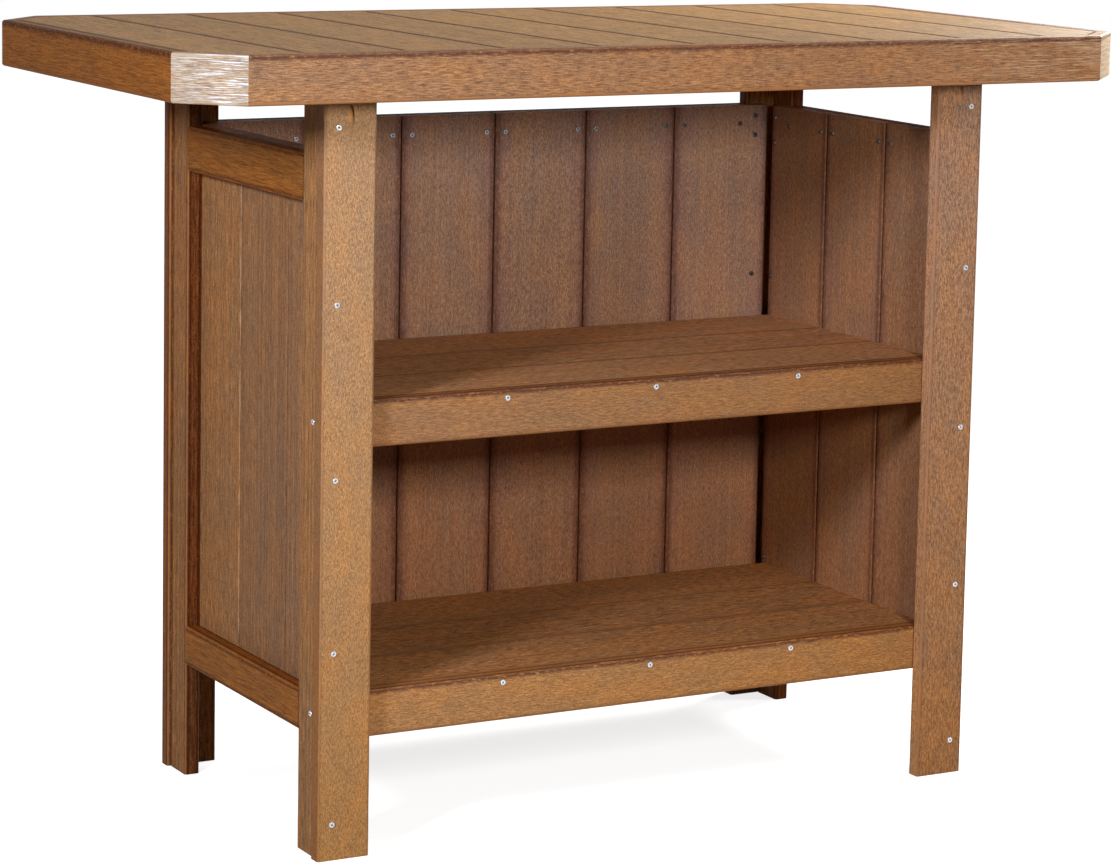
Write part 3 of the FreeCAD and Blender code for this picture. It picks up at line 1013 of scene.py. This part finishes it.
def make_recess_shade():
    """Painted shade in the bottom of the cross recess."""
    material, tree, shader = new_material("screw recess shade")
    point = add(tree, "TexCoord").outputs["Object"]
    spots = add(tree, "TexNoise", {"Vector": point, "Scale": RECESS_SHADE_SCALE,
                                   "Detail": RECESS_SHADE_DETAIL}).outputs["Fac"]
    tree.links.new(blend(tree, spots, RECESS_SHADE_DARK, RECESS_SHADE_LIGHT), shader.inputs["Base Color"])
    tree.links.new(sums(tree, "MULTIPLY_ADD", spots, RECESS_SHADE_SPREAD, RECESS_SHADE_ROUGHNESS),
                   shader.inputs["Roughness"])
    return material


recess_shade = make_recess_shade()
steels = {name: make_steel(name.replace("_", " ") + " steel", *tones)
          for name, tones in STEEL_TONES.items()}
print("materials", recess_shade.name, [steel.name for steel in steels.values()])

# %% [markdown]
# ## A detailed head on every seat
# All heads of a node become one piece, as the plain ones are. Each head is turned about its
# axis by another angle, because no two screws stop at the same turn.

# %% Put a detailed head on every seat
def make_screws(name):
    """All heads of a node as one piece that stands for it; returns their number."""
    single = bmesh.new()
    seats = seats_of(name)
    for count, (seat, axis) in enumerate(seats, start=1):
        turn = axis.to_track_quat("Z", "Y").to_matrix().to_4x4()
        spin = Matrix.Rotation(count * SEED_STEP * math.pi, 4, "Z")
        placed = bpy.data.meshes.new("placed head")
        head.to_mesh(placed)
        placed.transform(Matrix.Translation(seat) @ turn @ spin)
        single.from_mesh(placed)
        bpy.data.meshes.remove(placed)
    mesh = bpy.data.meshes.new(name + "_detailed")
    single.to_mesh(mesh)
    single.free()
    for finish in (steels[name], recess_shade):
        mesh.materials.append(finish)
    piece = put_in_scene(name + "_detailed", mesh)
    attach(piece, "root")
    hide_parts(name)
    return len(seats)


for name in steels:
    print(name, make_screws(name), "heads")

# %% [markdown]
# ## The floor
# The counter stands on a plain pale floor in front of white. The background is white because
# of its colour as the camera and the mirrors see it, not because more light falls on it. The
# floor also throws a little light back at the counter. That light is dimmer and warmer than the
# floor looks, so that the undersides and the corners of the bays stay deep and brown.

# %% Make the floor
FLOOR_HALF = 12.0
FLOOR_COLOUR = (0.6, 0.6, 0.6, 1)
FLOOR_BOUNCE = (0.23, 0.17, 0.1, 1)  # its colour for the light that it throws on the counter
FLOOR_ROUGHNESS, FLOOR_GLOSS = 0.9, 0.1
FLOOR_GLOW = 0.8         # added where it is seen, so that it is white, with a shadow
GLOW_REACH = (0.9, 3.0)  # metres from the middle, over which the glow grows to full


def seen_share(tree):
    """1 for rays from the camera, mirrors and glass, else 0."""
    ray = add(tree, "LightPath").outputs
    seen = sums(tree, "MAXIMUM", ray["Is Camera Ray"], ray["Is Glossy Ray"])
    return sums(tree, "MAXIMUM", seen, ray["Is Transmission Ray"])


def make_floor_material():
    """A pale floor that is lifted to white where it is seen."""
    material, tree, shader = new_material("floor")
    seen = seen_share(tree)
    shader.inputs["Roughness"].default_value = FLOOR_ROUGHNESS
    shader.inputs["Specular IOR Level"].default_value = FLOOR_GLOSS
    tree.links.new(blend(tree, seen, FLOOR_BOUNCE, FLOOR_COLOUR), shader.inputs["Base Color"])
    point = add(tree, "TexCoord").outputs["Object"]
    distance = add(tree, "VectorMath", {0: point}, operation="LENGTH").outputs["Value"]
    level = sums(tree, "MULTIPLY_ADD", step(tree, distance, *GLOW_REACH), 1 - FLOOR_GLOW,
                 FLOOR_GLOW)
    glow = add(tree, "Emission", {"Color": WHITE, "Strength": times(tree, seen, level)})
    mixed = add(tree, "AddShader", {0: shader.outputs[0], 1: glow.outputs[0]})
    tree.links.new(mixed.outputs[0], tree.nodes["Material Output"].inputs["Surface"])
    return material


def make_floor():
    """A flat floor under the counter."""
    builder = bmesh.new()
    bmesh.ops.create_grid(builder, size=FLOOR_HALF)
    mesh = bpy.data.meshes.new("floor")
    builder.to_mesh(mesh)
    builder.free()
    mesh.materials.append(make_floor_material())
    made = put_in_scene("floor", mesh)
    return made


floor = make_floor()
print(floor.name, "of", 2 * FLOOR_HALF, "m")

# %% [markdown]
# ## The surroundings
# The world too is white to the camera and the mirrors. As light it gives only a little, and
# that is cool.

# %% Make the surroundings
AMBIENT = 0.035
AMBIENT_COLOUR = (0.85, 1.0, 1.3, 1)


def make_world():
    """White where it is seen, and a dim cool light elsewhere."""
    made = bpy.data.worlds.new("surroundings")
    made.use_nodes = True
    tree = made.node_tree
    tree.nodes.clear()
    seen = seen_share(tree)
    light = add(tree, "Background", {
        "Color": blend(tree, seen, AMBIENT_COLOUR, WHITE),
        "Strength": sums(tree, "MULTIPLY_ADD", seen, 1 - AMBIENT, AMBIENT)})
    output = add(tree, "OutputWorld")
    tree.links.new(light.outputs[0], output.inputs["Surface"])
    return made


bpy.context.scene.world = make_world()
print("surroundings with an ambient level of", AMBIENT)

# %% [markdown]
# ## The lamps
# Two soft lamps a little above the top light the front and the left side, and reach far into
# the bays because they hang so low. A weak lamp fills the right side. A fourth, behind on the
# right, skims over the top and makes its far end bright.

# %% Hang the lamps
AIM = Vector((0.0, 0.0, 0.6))
LAMPS = {
    # name: heading from the front towards the left in degrees, distance over the floor,
    # height, side of the square lamp, power in watts, colour
    "front": (7, 2.97, 1.47, 0.4, 53.0, (1.01, 1.0, 0.95)),
    "left": (59, 2.8, 1.66, 0.45, 51.0, (0.95, 1.0, 1.2)),
    "right": (-77, 2.1, 1.7, 0.5, 19.0, (1.0, 1.0, 1.0)),
    "rim": (-112, 2.0, 1.75, 0.6, 50.0, (1.0, 1.0, 0.93)),
}


def hang_lamp(name, heading, distance, height, side, watts, colour):
    """A soft square lamp that faces the middle of the counter."""
    data = bpy.data.lights.new(name, "AREA")
    data.shape = "SQUARE"
    data.size = side
    data.energy = watts
    data.color = colour
    lamp = put_in_scene(name, data)
    turn = math.radians(heading)
    lamp.location = (-math.sin(turn) * distance, -math.cos(turn) * distance, height)
    lamp.visible_camera = False
    lamp.rotation_euler = (lamp.location - AIM).to_track_quat("Z", "Y").to_euler()
    return lamp


for name, values in LAMPS.items():
    print("lamp", name, "at", [round(value, 2) for value in hang_lamp(name, *values).location])

# %% [markdown]
# ## The end
# The counter is dressed, lit and seen by the camera.

# %% Finish
print("counter dressed")
